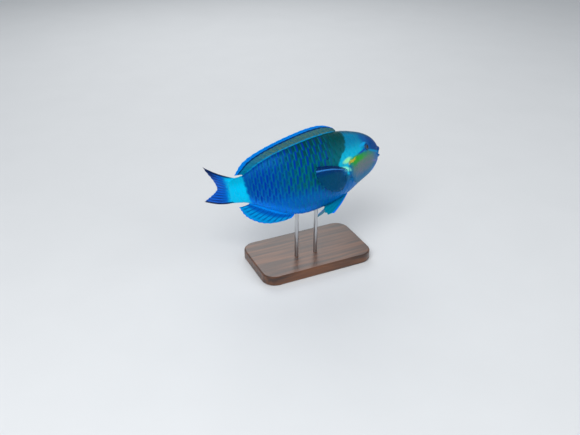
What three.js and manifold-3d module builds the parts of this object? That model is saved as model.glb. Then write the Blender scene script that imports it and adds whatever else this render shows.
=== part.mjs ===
// A life-size display model of a parrotfish that swims over a plain stand.
// Millimetres, +Z up. The fish heads along +X and its left side is towards +Y.
// The origin is the middle of the base's underside.
//
// The fish is first built straight: x is minus the distance behind the snout, y is to its left
// and z is above the mouth. The straight solids are cut to each other, and then every vertex is
// carried onto the bent line of the swimming fish, which is pitched and banked on its stand.

import * as THREE from "three";
import { mergeVertices } from "three/addons/utils/BufferGeometryUtils.js";
import Module from "manifold-3d";

const wasm = await Module();
wasm.setup();

const { Vector3 } = THREE;
const degrees = THREE.MathUtils.degToRad;
const { lerp, smoothstep } = THREE.MathUtils;

// Driving dimensions
const BODY_LENGTH = 258; // snout to the root of the tail fin
const FIN_REACH = 330; // how far behind the snout the bent line is worked out
const GAP = 0.3; // between pieces that meet
const HEAD_CUT = 72; // where the head meets the trunk, under the gill covers
const TAIL_CUT = 226; // where the trunk meets the tail stem
const MIDDLE = 140; // the place on the body that stands over the origin

// Pose
const HEIGHT = 152; // the mouth's level above the floor, before the fish is pitched
const PITCH = 4; // nose up, in degrees
const BANK = 14; // back leaning to the left, in degrees

// Smooth curve through knots of [place, value]
function through(knots) {
  const slope = (i) => {
    const a = knots[Math.max(i - 1, 0)];
    const b = knots[Math.min(i + 1, knots.length - 1)];
    return (b[1] - a[1]) / (b[0] - a[0]);
  };
  return (place) => {
    const x = Math.min(Math.max(place, knots[0][0]), knots.at(-1)[0]);
    const found = knots.findIndex((knot) => knot[0] >= x);
    const i = Math.max(found, 1) - 1;
    const span = knots[i + 1][0] - knots[i][0];
    const t = (x - knots[i][0]) / span;
    const rise = knots[i + 1][1] - knots[i][1];
    const m0 = slope(i) * span;
    const m1 = slope(i + 1) * span;
    return knots[i][1] + t * (m0 + t * (3 * rise - 2 * m0 - m1 + t * (m0 + m1 - 2 * rise)));
  };
}

// The same, read along the root of the place, so that the snout comes out round
function rounded(knots) {
  const curve = through(knots.map(([place, value]) => [Math.sqrt(place), value]));
  return (place) => curve(Math.sqrt(Math.max(place, 0)));
}

// The body's outline, width and section, each by distance behind the snout
const backOf = rounded([
  [0, 3], [4, 15], [12, 25.5], [24, 34], [40, 41.5], [56, 47], [72, 51], [90, 53.4],
  [110, 54], [130, 53], [160, 49], [190, 42.5], [214, 33.5], [230, 25], [242, 19], [258, 16.5],
]);
const bellyOf = rounded([
  [0, -3], [4, -15], [12, -24], [24, -31.5], [40, -37], [56, -42.5], [72, -48.3], [90, -53],
  [112, -57], [135, -59.5], [155, -60], [172, -57.5], [190, -50.5], [210, -40], [230, -29.5],
  [244, -24], [258, -23],
]);
const middleOf = rounded([[0, 0], [20, 3], [60, 2], [120, 0], [190, -3], [258, -2]]);
const halfWidthOf = rounded([
  [0, 0.5], [3, 8.5], [10, 13], [22, 16.6], [40, 20], [60, 22.6], [85, 24], [120, 23.4],
  [150, 20.4], [180, 16], [210, 10.8], [235, 7], [258, 4],
]);
const ridgeOf = through([[0, 0.95], [60, 1.0], [120, 1.12], [200, 1.1], [258, 1.0]]);

// A point of the straight skin, by distance behind the snout and by the angle round the section
// from the back over the left flank to the belly
function flank(s, angle) {
  const up = Math.cos(angle);
  const side = Math.sin(angle);
  const middle = middleOf(s);
  const reach = up > 0 ? backOf(s) - middle : middle - bellyOf(s);
  const out = halfWidthOf(s) * Math.sign(side) * Math.abs(side) ** ridgeOf(s);
  return new Vector3(-s, out, middle + reach * up);
}

// The skin's outward direction at the same place
function outward(s, angle) {
  const step = 0.02;
  const along = flank(s + 1, angle).sub(flank(Math.max(s - 1, 0), angle));
  const round = flank(s, angle + step).sub(flank(s, angle - step));
  return new Vector3().crossVectors(round, along).normalize();
}

// The angle round the section at a level z on one side: 1 is left and -1 right
function angleAt(s, z, side) {
  const middle = middleOf(s);
  const reach = z > middle ? backOf(s) - middle : middle - bellyOf(s);
  const up = THREE.MathUtils.clamp((z - middle) / reach, -1, 1);
  return side * Math.acos(up);
}

function onSkin(s, z, side, lift = 0) {
  const angle = angleAt(s, z, side);
  return flank(s, angle).addScaledVector(outward(s, angle), lift);
}

// The bent line: the fish turns to its left, with the tail swept round after it
const headingOf = through([
  [0, 14], [70, 13.5], [105, 8.5], [MIDDLE, 0], [200, -14], [240, -25], [BODY_LENGTH, -36],
  [280, -60], [300, -72], [FIN_REACH, -76],
]);
const line = [new Vector3(0, 0, 0)];
for (let s = 0; s < FIN_REACH; s += 1) {
  const heading = degrees(headingOf(s + 0.5));
  line.push(line.at(-1).clone().sub(new Vector3(Math.cos(heading), Math.sin(heading), 0)));
}
const centre = line[MIDDLE].clone();

function bent(p) {
  const s = THREE.MathUtils.clamp(-p.x, 0, FIN_REACH - 1);
  const i = Math.floor(s);
  const place = line[i].clone().lerp(line[i + 1], s - i).sub(centre);
  const heading = degrees(headingOf(s));
  const over = Math.min(-p.x - s, 0); // ahead of the snout the line runs on straight
  place.x += -p.y * Math.sin(heading) - over * Math.cos(heading);
  place.y += p.y * Math.cos(heading) - over * Math.sin(heading);
  return place.setZ(p.z);
}

// Closed surfaces and solids
function surface(points, faces) {
  const geometry = new THREE.BufferGeometry().setFromPoints(points);
  geometry.setIndex(faces.flat());
  return geometry;
}

function solid(geometry) {
  const bare = geometry.clone();
  bare.deleteAttribute("normal");
  bare.deleteAttribute("uv");
  const merged = mergeVertices(bare, 1e-4);
  const vertProperties = new Float32Array(merged.attributes.position.array);
  const triVerts = new Uint32Array(merged.index.array);
  const made = new wasm.Manifold(new wasm.Mesh({ numProp: 3, vertProperties, triVerts }));
  if (made.volume() > 0) return made;
  for (let i = 0; i < triVerts.length; i += 3) {
    [triVerts[i + 1], triVerts[i + 2]] = [triVerts[i + 2], triVerts[i + 1]];
  }
  return new wasm.Manifold(new wasm.Mesh({ numProp: 3, vertProperties, triVerts }));
}

function geometryOf(made) {
  const pieces = made.decompose().sort((a, b) => b.volume() - a.volume());
  const mesh = pieces[0].getMesh();
  const geometry = new THREE.BufferGeometry();
  geometry.setAttribute("position", new THREE.BufferAttribute(mesh.vertProperties, 3));
  geometry.setIndex(new THREE.BufferAttribute(mesh.triVerts, 1));
  return geometry;
}

// A closed skin over rings of points, with a fan over each end
function overRings(rings) {
  const round = rings[0].length;
  const points = rings.flat();
  const faces = [];
  rings.slice(1).forEach((_, i) => {
    for (let j = 0; j < round; j += 1) {
      const a = i * round + j;
      const b = i * round + ((j + 1) % round);
      faces.push([a, b, b + round], [a, b + round, a + round]);
    }
  });
  for (const [ring, first, turn] of [[rings[0], 0, 1], [rings.at(-1), points.length - round, -1]]) {
    const hub = points.length + (turn > 0 ? 0 : 1);
    ring.hub = ring.reduce((sum, p) => sum.add(p), new Vector3()).divideScalar(round);
    for (let j = 0; j < round; j += 1) {
      const a = first + j;
      const b = first + ((j + 1) % round);
      faces.push(turn > 0 ? [b, a, hub] : [a, b, hub]);
    }
  }
  return surface([...points, rings[0].hub, rings.at(-1).hub], faces);
}

// A closed sheet between two grids of points that are split alike
function overSheet(front, back) {
  const rows = front.length;
  const columns = front[0].length;
  const points = [...front.flat(), ...back.flat()];
  const other = rows * columns;
  const faces = [];
  const quad = (a, b, c, d) => faces.push([a, b, c], [a, c, d]);
  for (let i = 0; i < rows - 1; i += 1) {
    for (let j = 0; j < columns - 1; j += 1) {
      const a = i * columns + j;
      const [b, c, d] = [a + 1, a + columns + 1, a + columns];
      faces.push([a, b, c], [a, c, d]);
      faces.push([a + other, c + other, b + other], [a + other, d + other, c + other]);
    }
  }
  const edge = [];
  for (let j = 0; j < columns - 1; j += 1) edge.push(j);
  for (let i = 0; i < rows - 1; i += 1) edge.push(i * columns + columns - 1);
  for (let j = columns - 1; j > 0; j -= 1) edge.push((rows - 1) * columns + j);
  for (let i = rows - 1; i > 0; i -= 1) edge.push(i * columns);
  edge.forEach((a, k) => {
    const b = edge[(k + 1) % edge.length];
    quad(b, a, a + other, b + other);
  });
  return surface(points, faces);
}

// The body between two places behind the snout, with its skin lifted
const ROUND = 32; // points round a section
function body(from, to, steps, lift = 0, spacing = 1) {
  const rings = [];
  for (let i = 0; i <= steps; i += 1) {
    const s = lerp(from, to, (i / steps) ** spacing);
    const ring = [];
    for (let j = 0; j < ROUND; j += 1) {
      const angle = (2 * Math.PI * j) / ROUND;
      const raised = typeof lift === "function" ? lift(s) : lift;
      ring.push(flank(s, angle).addScaledVector(outward(s, angle), raised));
    }
    rings.push(ring);
  }
  return solid(overRings(rings));
}

const SNOUT_START = 0.5;
const SNOUT_CROWDING = 1.7; // the sections lie closer together towards the snout
const HEAD_STEPS = 18;
const TRUNK_STEPS = 18;
const TAIL_STEPS = 7;
const wholeBody = (lift) => body(SNOUT_START, BODY_LENGTH, 60, lift, SNOUT_CROWDING);
const clearOfBody = wholeBody(GAP);

// Gill covers: plates that follow the cheek, with their rear edge standing off the shoulder
const COVER_OUTLINE = [
  [48, 7], [55, 14], [66, 15], [74, 9], [80, -3], [79, -14], [73, -25], [64, -34], [54, -38],
  [48, -33], [50, -22], [49, -8],
];
const COVER_DEPTH = 2.6;
const COVER_EDGE = 1.5; // how far the rear edge stands off
const coverLift = (s) => 0.15 + COVER_EDGE * smoothstep(s, 50, 79);

function coverPrism(side, grown) {
  const middle = new THREE.Vector2(64, -10);
  const knots = COVER_OUTLINE.map(([s, z]) => {
    const from = new THREE.Vector2(s, z).sub(middle);
    return from.setLength(from.length() + grown).add(middle);
  });
  const outline = new THREE.SplineCurve([...knots, knots[0]]).getPoints(36);
  const shape = new THREE.Shape(outline.slice(0, -1).map((p) => new THREE.Vector2(-p.x, p.y)));
  const prism = new THREE.ExtrudeGeometry(shape, { depth: 40, bevelEnabled: false, curveSegments: 1 });
  prism.rotateX(Math.PI / 2); // the shape's y becomes z, and its depth runs towards -y
  if (side > 0) prism.translate(0, 40, 0);
  return solid(prism);
}

const underCover = body(30, 100, 22, -COVER_DEPTH);
const coverTop = body(30, 100, 22, coverLift);
const gillCover = (side) => coverPrism(side, 0).intersect(coverTop).subtract(underCover);
const coverRecess = (side) =>
  coverPrism(side, GAP).subtract(body(30, 100, 22, -COVER_DEPTH - GAP));

// Eyes in round sockets with a raised rim of skin
const EYE = { s: 36, z: 16.8, radius: 6.8, sunk: 4.6 };
const eyeMiddle = (side) => onSkin(EYE.s, EYE.z, side, -EYE.sunk);
function ball(at, radius, scale = [1, 1, 1], detail = [14, 10]) {
  const made = new THREE.SphereGeometry(radius, ...detail);
  return made.scale(...scale).translate(at.x, at.y, at.z);
}
function eyeRim(side) {
  const facing = outward(EYE.s, angleAt(EYE.s, EYE.z, side));
  const turn = new THREE.Quaternion().setFromUnitVectors(new Vector3(0, 0, 1), facing);
  const at = onSkin(EYE.s, EYE.z, side, -0.3);
  const rim = new THREE.TorusGeometry(EYE.radius - 0.6, 1.15, 6, 20).applyQuaternion(turn);
  return solid(rim.translate(at.x, at.y, at.z));
}

// Nostrils: two small pits on each side in front of the eye
const NOSTRILS = [
  { s: 23.5, z: 18, radius: 1.0 },
  { s: 26.5, z: 20.5, radius: 1.3 },
];
const nostril = (side, { s, z, radius }) =>
  solid(ball(onSkin(s, z, side), radius, [1, 1, 1], [8, 6]));

// Mouth: the fused tooth plates of the beak between two fleshy lips
const MOUTH = { level: -1, corner: 12, halfWidth: 12.6, bite: 0.9 };
const BEAK = { s: 10.5, reach: 12.7, halfWidth: 11.8, halfHeight: 7.2 };
const beakBall = (grown) => {
  const scale = [BEAK.reach, BEAK.halfWidth, BEAK.halfHeight].map((radius) => radius + grown);
  return solid(ball(new Vector3(-BEAK.s, 0, MOUTH.level), 1, scale, [18, 10]));
};
function slab(rear, front, low, high) {
  const box = new THREE.BoxGeometry(front - rear, 60, high - low);
  return solid(box.translate((front + rear) / 2, 0, MOUTH.level + (low + high) / 2));
}
const upperPlate = beakBall(0).intersect(slab(-40, 10, MOUTH.bite / 2, 20));
const lowerPlate = beakBall(0).intersect(slab(-40, 10, -20, -MOUTH.bite / 2));
const gape = slab(-MOUTH.corner, 10, -MOUTH.bite / 2, MOUTH.bite / 2);

// A lip runs from one corner of the mouth over the front to the other
function lip(rise, front, thickness) {
  const steps = 14;
  const sides = 8;
  const rings = [];
  for (let i = 0; i <= steps; i += 1) {
    const turn = lerp(-Math.PI / 2, Math.PI / 2, i / steps);
    const away = Math.sin(turn);
    const at = new Vector3(
      front - (MOUTH.corner + front) * away * away,
      MOUTH.halfWidth * Math.sign(away) * Math.abs(away) ** 0.85,
      MOUTH.level + rise * Math.cos(turn) ** 0.8,
    );
    const radius = thickness * (0.5 + 0.5 * Math.cos(turn));
    const radial = new Vector3(0.25, Math.sin(turn), Math.sign(rise) * Math.cos(turn)).normalize();
    const forward = new Vector3(1, 0.45 * Math.sin(turn), 0).normalize();
    const ring = [];
    for (let j = 0; j < sides; j += 1) {
      const a = (2 * Math.PI * j) / sides;
      ring.push(
        at.clone()
          .addScaledVector(radial, radius * Math.cos(a))
          .addScaledVector(forward, radius * 0.85 * Math.sin(a)),
      );
    }
    rings.push(ring);
  }
  return solid(overRings(rings));
}

// The head, its openings cut in it
const plainHead = body(SNOUT_START, HEAD_CUT - GAP / 2, HEAD_STEPS, 0, SNOUT_CROWDING);
const SIDES = [1, -1];
let headSolid = wasm.Manifold.union([
  plainHead,
  lip(6.6, -0.4, 3.0),
  lip(-6.2, -1.2, 2.8),
  ...SIDES.map(eyeRim),
]);
headSolid = headSolid.subtract(beakBall(GAP)).subtract(gape);
for (const side of SIDES) {
  headSolid = headSolid.subtract(solid(ball(eyeMiddle(side), EYE.radius + GAP)));
  headSolid = headSolid.subtract(coverRecess(side));
  for (const pit of NOSTRILS) headSolid = headSolid.subtract(nostril(side, pit));
}

// The trunk and the tail stem
let trunkSolid = body(HEAD_CUT + GAP / 2, TAIL_CUT - GAP / 2, TRUNK_STEPS);
for (const side of SIDES) trunkSolid = trunkSolid.subtract(coverRecess(side));
const tailStemSolid = body(TAIL_CUT + GAP / 2, BODY_LENGTH, TAIL_STEPS);

// A fin is a membrane over a fan of rays, each a ridge raised in both of its faces.
// middle(v, u) is its middle surface: v runs from the first ray to the last and u from root to tip.
function fin({ rays, steps, middle, membrane = 0.6, ray = 1.5, root = 0 }) {
  const front = [];
  const back = [];
  const step = 0.01;
  for (let k = 0; k < rays; k += 1) {
    for (const [offset, ridge] of [[0, 1], [0.27, 0], [0.73, 0]]) {
      if (k === rays - 1 && offset > 0) break;
      const v = (k + offset) / (rays - 1);
      const faces = [[], []];
      for (let i = 0; i <= steps; i += 1) {
        const u = i / steps;
        const at = middle(v, u);
        const across = middle(Math.min(v + step, 1), u).sub(middle(Math.max(v - step, 0), u));
        const along = middle(v, Math.min(u + step, 1)).sub(middle(v, Math.max(u - step, 0)));
        const facing = across.cross(along).normalize();
        const ridgeHeight = (ray - membrane) * ridge * (1 - 0.6 * u);
        const half = (membrane + ridgeHeight + root * Math.exp(-((u / 0.1) ** 2))) / 2;
        faces[0].push(at.clone().addScaledVector(facing, half));
        faces[1].push(at.clone().addScaledVector(facing, -half));
      }
      front.push(faces[0]);
      back.push(faces[1]);
    }
  }
  return solid(overSheet(front, back)).subtract(clearOfBody);
}

// Fins on the midline: each ray leans back from its root, by an angle above or below the body's line
function midlineFin({ from, to, edgeOf, sink, lengthOf, leanOf, rays, steps, wave }) {
  const middle = (v, u) => {
    const s = lerp(from, to, v);
    const lean = degrees(leanOf(v));
    const reach = lengthOf(v) * u;
    const start = new Vector3(-s, 0, edgeOf(s) - sink);
    const dip = 1 - 0.1 * u * u; // the rays bow back a little
    return start.add(new Vector3(
      -reach * Math.cos(lean) - 0.06 * reach * u,
      wave * Math.sin(v * 9) * u * u,
      reach * Math.sin(lean) * dip + sink * Math.min(1, u * 4),
    ));
  };
  return fin({ rays, steps, middle });
}

const dorsalSolid = midlineFin({
  from: 79, to: 238, edgeOf: backOf, sink: 3, rays: 19, steps: 6, wave: 1.2,
  lengthOf: through([[0, 9], [0.05, 18], [0.12, 23], [0.35, 24], [0.65, 25], [0.85, 25], [1, 15]]),
  leanOf: through([[0, 58], [0.1, 50], [0.35, 42], [0.5, 35], [0.65, 25], [0.8, 13], [0.9, 4], [1, 0]]),
});
const analSolid = midlineFin({
  from: 172, to: 236, edgeOf: bellyOf, sink: -3, rays: 12, steps: 6, wave: 1,
  lengthOf: through([[0, 8], [0.12, 17], [0.3, 27], [0.5, 31], [0.75, 29], [1, 19]]),
  leanOf: through([[0, -44], [0.25, -36], [0.5, -29], [0.75, -24], [1, -13]]),
});

// The tail fin spreads from the tail stem to two pointed lobes, the lower one trailing further
const TAIL = {
  root: 247,
  notch: 290,
  upper: { tip: 37, trails: 12, power: 2.2, leansOver: 10 },
  lower: { tip: -23, trails: 32, power: 1.3, leansOver: 8 },
};
const caudalSolid = fin({
  rays: 13, steps: 8, ray: 1.6,
  middle: (v, u) => {
    const high = 1 - 2 * v;
    const rootZ = lerp(15, -18.5, v) - 0.5;
    const lobe = high > 0 ? TAIL.upper : TAIL.lower;
    const tipZ = lobe.tip * Math.abs(high);
    const tipS = TAIL.notch + lobe.trails * Math.abs(high) ** lobe.power;
    const rootS = TAIL.root - 4 * high * high;
    const spread = u ** 1.25;
    const away = smoothstep(Math.abs(high), 0, 1);
    return new Vector3(
      -lerp(rootS, tipS, u),
      -lobe.leansOver * away * u ** 1.6,
      lerp(rootZ, tipZ, spread),
    );
  },
});

// Pectoral fins: a fan swept back along the flank from a fleshy root behind the gill cover
function pectoral(side, open) {
  const lengthOf = through([[0, 60], [0.15, 60], [0.4, 54], [0.7, 40], [1, 21]]);
  const riseOf = through([[0, 38], [0.3, 18], [0.7, -14], [1, -50]]);
  const middle = (v, u) => {
    const start = onSkin(lerp(83, 86, v), lerp(-7, -19, v), side, -2.5);
    const reach = lengthOf(v) * u;
    const rise = degrees(riseOf(v) - 16 * u * (1 - v));
    const out = degrees(lerp(open, open + 5, v));
    return start.add(new Vector3(
      -reach * Math.cos(rise) * Math.cos(out),
      side * (reach * Math.sin(out) + 3 * Math.min(1, u * 6) - 4 * u * u),
      reach * Math.sin(rise),
    ));
  };
  return fin({ rays: 12, steps: 6, middle, ray: 1.3, root: 3 });
}

// Pelvic fins: short fans under the breast, the right one spread wider than the left
function pelvic(side, { back, out, down, length }) {
  const middle = (v, u) => {
    const start = new Vector3(-lerp(79, 84, v), side * lerp(6.5, 3, v), bellyOf(82) + 2.5);
    const reach = lengthOf(v) * length * u;
    const way = new Vector3(-back, side * out, -down).normalize();
    const inner = new Vector3(-back - 0.12, side * (out - 0.62), -down + 0.12).normalize();
    const ray = way.lerp(inner, v).normalize();
    return start.addScaledVector(ray, reach).add(new Vector3(-3 * u * u, 0, 1.5 * u * u * v));
  };
  const lengthOf = through([[0, 0.9], [0.2, 1], [0.6, 0.86], [1, 0.6]]);
  return fin({ rays: 6, steps: 7, middle, ray: 1.5, root: 2.5 });
}

// Pieces of the straight fish are bent, and then stand in one posed group
const FINISH = {
  trunk: { color: 0x0b4f8f, roughness: 0.42 },
  head: { color: 0x1277a8, roughness: 0.4 },
  cheek: { color: 0x5d8a6a, roughness: 0.4 },
  tail: { color: 0x12a8dc, roughness: 0.42 },
  fin: { color: 0x1a73c8, roughness: 0.45 },
  paleFin: { color: 0x2e8fae, roughness: 0.45 },
  eye: { color: 0x141414, roughness: 0.12 },
  beak: { color: 0x7fc4c8, roughness: 0.3 },
  wood: { color: 0x5a3620, roughness: 0.5 },
  rod: { color: 0xb9bcc0, roughness: 0.3, metalness: 1 },
};
const finishOf = (name) => new THREE.MeshStandardMaterial({ metalness: 0, ...FINISH[name] });

function bentGeometry(made) {
  const geometry = geometryOf(made);
  const at = geometry.attributes.position;
  for (let i = 0; i < at.count; i += 1) {
    const p = bent(new Vector3().fromBufferAttribute(at, i));
    at.setXYZ(i, p.x, p.y, p.z);
  }
  return geometry;
}

const fish = new THREE.Group();
fish.position.set(0, 0, HEIGHT);
fish.rotation.set(degrees(-BANK), degrees(-PITCH), 0, "YXZ");
fish.updateMatrixWorld(true);
const fishPieces = [
  ["head", headSolid, "head"],
  ["trunk", trunkSolid, "trunk"],
  ["tail_stem", tailStemSolid, "tail"],
  ["dorsal_fin", dorsalSolid, "fin"],
  ["anal_fin", analSolid, "fin"],
  ["tail_fin", caudalSolid, "fin"],
  ["gill_cover_left", gillCover(1), "cheek"],
  ["gill_cover_right", gillCover(-1), "cheek"],
  ["pectoral_fin_left", pectoral(1, 16), "paleFin"],
  ["pectoral_fin_right", pectoral(-1, 9), "paleFin"],
  ["pelvic_fin_left", pelvic(1, { back: 0.79, out: 0.3, down: 0.54, length: 58 }), "paleFin"],
  ["pelvic_fin_right", pelvic(-1, { back: 0.83, out: 0.43, down: 0.35, length: 51 }), "paleFin"],
  ["eye_left", solid(ball(eyeMiddle(1), EYE.radius)), "eye"],
  ["eye_right", solid(ball(eyeMiddle(-1), EYE.radius)), "eye"],
  ["beak_upper", upperPlate, "beak"],
  ["beak_lower", lowerPlate, "beak"],
];
for (const [name, made, finish] of fishPieces) {
  const mesh = new THREE.Mesh(bentGeometry(made), finishOf(finish));
  mesh.name = name;
  fish.add(mesh);
}

// Stand: a flat wooden base with two steel rods that rise to the belly
const BASE = { length: 190, width: 112, height: 16, corner: 20, bevel: 2 };
const ROD = { radius: 3, places: [8, -25], seat: 10 };

function baseGeometry() {
  const { length, width, height, corner, bevel } = BASE;
  const [x, y] = [length / 2 - bevel, width / 2 - bevel];
  const shape = new THREE.Shape();
  shape.moveTo(-x + corner, -y);
  shape.lineTo(x - corner, -y);
  shape.absarc(x - corner, -y + corner, corner, -Math.PI / 2, 0);
  shape.absarc(x - corner, y - corner, corner, 0, Math.PI / 2);
  shape.absarc(-x + corner, y - corner, corner, Math.PI / 2, Math.PI);
  shape.absarc(-x + corner, -y + corner, corner, Math.PI, 1.5 * Math.PI);
  const made = new THREE.ExtrudeGeometry(shape, {
    depth: height - 2 * bevel, bevelSize: bevel, bevelThickness: bevel, bevelSegments: 2, curveSegments: 5,
  });
  return made.translate(0, 0, bevel);
}

// A point of the bent midline in the posed fish
const posed = (s) => bent(new Vector3(-s, 0, 0)).applyMatrix4(fish.matrixWorld);

function upright(at, radius, low, high) {
  const made = new THREE.CylinderGeometry(radius, radius, high - low, 16);
  return made.rotateX(Math.PI / 2).translate(at.x, at.y, (low + high) / 2);
}

const posedBody = solid(bentGeometry(clearOfBody).applyMatrix4(fish.matrixWorld));
const stand = new THREE.Group();
let baseSolid = solid(baseGeometry());
const BELLY_LEAN = Math.sin(degrees(BANK)) * 57; // how far the banked belly swings to the right
ROD.places.forEach((x, i) => {
  const at = new Vector3(x, posed(MIDDLE - x).y - BELLY_LEAN, 0);
  const floor = BASE.height - ROD.seat;
  baseSolid = baseSolid.subtract(solid(upright(at, ROD.radius + GAP, floor, BASE.height + 5)));
  const rod = solid(upright(at, ROD.radius, floor + GAP, HEIGHT)).subtract(posedBody);
  const low = rod.decompose().sort((a, b) => a.boundingBox().min[2] - b.boundingBox().min[2])[0];
  const mesh = new THREE.Mesh(geometryOf(low), finishOf("rod"));
  mesh.name = i === 0 ? "stand_rod_front" : "stand_rod_rear";
  stand.add(mesh);
});
const base = new THREE.Mesh(geometryOf(baseSolid), finishOf("wood"));
base.name = "stand_base";
stand.add(base);

const model = new THREE.Group();
model.add(fish, stand);

export default model;
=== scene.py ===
import math

import bpy
import numpy as np
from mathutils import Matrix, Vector


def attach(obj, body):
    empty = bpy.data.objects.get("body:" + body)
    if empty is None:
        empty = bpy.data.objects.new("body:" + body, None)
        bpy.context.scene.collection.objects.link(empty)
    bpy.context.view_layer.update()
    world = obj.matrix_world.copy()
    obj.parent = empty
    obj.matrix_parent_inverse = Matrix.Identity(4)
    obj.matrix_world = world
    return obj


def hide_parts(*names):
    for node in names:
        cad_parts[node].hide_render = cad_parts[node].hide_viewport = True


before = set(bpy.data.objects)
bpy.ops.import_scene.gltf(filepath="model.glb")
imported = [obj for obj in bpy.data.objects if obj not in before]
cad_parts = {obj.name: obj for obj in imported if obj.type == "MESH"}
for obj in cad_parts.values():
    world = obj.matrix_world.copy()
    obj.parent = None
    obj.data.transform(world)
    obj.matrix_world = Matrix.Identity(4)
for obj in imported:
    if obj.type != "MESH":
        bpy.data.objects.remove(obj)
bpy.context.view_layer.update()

# The skin: head, trunk and tail stem of the fish, cast in resin as one closed form and painted. It
# is worked out straight, as x = minus the millimetres behind the snout, y to the left and z above
# the mouth, and is then bent to the swimming line, pitched and banked.


def through(knots):
    """A smooth curve through knots of (place, value), for arrays."""
    place, value = np.array(knots, float).T
    last = len(place) - 1

    def slope(i):
        a, b = np.maximum(i - 1, 0), np.minimum(i + 1, last)
        return (value[b] - value[a]) / (place[b] - place[a])

    def curve(x):
        x = np.clip(np.asarray(x, float), place[0], place[-1])
        i = np.clip(np.searchsorted(place, x), 1, last) - 1
        span = place[i + 1] - place[i]
        t = (x - place[i]) / span
        rise = value[i + 1] - value[i]
        m0, m1 = slope(i) * span, slope(i + 1) * span
        return value[i] + t * (m0 + t * (3 * rise - 2 * m0 - m1 + t * (m0 + m1 - 2 * rise)))

    return curve


def rounded(knots):
    """The same, read along the root of the place, so that the snout comes out round."""
    curve = through([(math.sqrt(place), value) for place, value in knots])
    return lambda place: curve(np.sqrt(np.maximum(place, 0)))


def smoothstep(x, low, high):
    t = np.clip((x - low) / (high - low), 0, 1)
    return t * t * (3 - 2 * t)


def lerp(a, b, t):
    return a + (b - a) * t


def bump(distance, width):
    return np.exp(-((distance / width) ** 2))


BODY_LENGTH = 258  # snout to the root of the tail fin
SKIN_END = 266.0  # the flesh runs on between the roots of the tail fin's rays
MIDDLE = 140  # the place on the body that stands over the base's middle
HEIGHT = 152.0  # the mouth's level above the floor, before the pitch
PITCH = math.radians(4)
BANK = math.radians(14)

back_of = rounded([
    (0, 3), (4, 15), (12, 25.5), (24, 34), (40, 41.5), (56, 47), (72, 51), (90, 53.4), (110, 54),
    (130, 53), (160, 49), (190, 42.5), (214, 33.5), (230, 25), (242, 19), (BODY_LENGTH, 16.5),
])
belly_of = rounded([
    (0, -3), (4, -15), (12, -24), (24, -31.5), (40, -37), (56, -42.5), (72, -48.3), (90, -53),
    (112, -57), (135, -59.5), (155, -60), (172, -57.5), (190, -50.5), (210, -40), (230, -29.5),
    (244, -24), (BODY_LENGTH, -23),
])
middle_of = rounded([(0, 0), (20, 3), (60, 2), (120, 0), (190, -3), (BODY_LENGTH, -2)])
body_width_of = rounded([
    (0, 0.5), (3, 8.5), (10, 13), (22, 16.6), (40, 20), (60, 22.6), (85, 24), (120, 23.4),
    (150, 20.4), (180, 16), (210, 10.8), (235, 7), (BODY_LENGTH, 4),
])
ridge_of = through([(0, 0.95), (60, 1.0), (120, 1.12), (200, 1.1), (BODY_LENGTH, 1.0)])
heading_of = through([
    (0, 14), (70, 13.5), (105, 8.5), (MIDDLE, 0), (200, -14), (240, -25), (BODY_LENGTH, -36),
    (280, -60), (300, -72), (330, -76),
])
CLOSING_FROM = 250  # behind this place the body draws in to a blade
BLADE = 0.3  # the blade's half thickness


def half_width_of(s):
    """The body's half width, drawn in to a blade past the root of the tail fin."""
    closing = np.clip((np.asarray(s, float) - CLOSING_FROM) / (SKIN_END + 1 - CLOSING_FROM), 0, 1)
    return body_width_of(s) * np.sqrt(1 - closing**2) + BLADE * closing


def flank(s, angle):
    """A point of the straight body, by place and by angle from the back over the left side."""
    up, side = np.cos(angle), np.sin(angle)
    middle = middle_of(s)
    reach = np.where(up > 0, back_of(s) - middle, middle - belly_of(s))
    out = half_width_of(s) * np.sign(side) * np.abs(side) ** ridge_of(s)
    return np.stack(np.broadcast_arrays(-s, out, middle + reach * up), -1)


def outward(s, angle, step=1, turn=0.02):
    along = flank(s + step, angle) - flank(np.maximum(s - step, 0), angle)
    around = flank(s, angle + turn) - flank(s, angle - turn)
    normal = np.cross(around, along)
    return normal / np.linalg.norm(normal, axis=-1, keepdims=True)


def on_skin(s, z, side, lift=0.0):
    """The straight point at one place and level: side is 1 on the left and -1 on the right."""
    s, z = np.broadcast_arrays(np.asarray(s, float), np.asarray(z, float))
    middle = middle_of(s)
    reach = np.where(z > middle, back_of(s) - middle, middle - belly_of(s))
    angle = side * np.arccos(np.clip((z - middle) / reach, -1, 1))
    return flank(s, angle) + outward(s, angle) * lift


LINE_END = 330
steps = np.radians(heading_of(np.arange(LINE_END) + 0.5))
line = np.zeros((LINE_END + 1, 3))
line[1:, 0] = -np.cumsum(np.cos(steps))
line[1:, 1] = -np.cumsum(np.sin(steps))
line -= line[MIDDLE]


def rotate(a, b, angle):
    cos, sin = math.cos(angle), math.sin(angle)
    return a * cos - b * sin, a * sin + b * cos


def posed(points):
    """Straight millimetres to the swimming fish, in metres."""
    points = np.asarray(points, float)
    shape = points.shape
    p = points.reshape(-1, 3)
    s = np.clip(-p[:, 0], 0, LINE_END - 1)
    i = s.astype(int)
    part = (s - i)[:, None]
    at = line[i] * (1 - part) + line[i + 1] * part
    turn = np.radians(heading_of(s))
    ahead = np.minimum(-p[:, 0] - s, 0)
    at[:, 0] -= p[:, 1] * np.sin(turn) + ahead * np.cos(turn)
    at[:, 1] += p[:, 1] * np.cos(turn) - ahead * np.sin(turn)
    y, z = rotate(at[:, 1], p[:, 2], -BANK)
    z, x = rotate(z, at[:, 0], -PITCH)
    world = np.stack([x, y, z + HEIGHT], -1)
    return (world / 1000).reshape(shape)


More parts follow.
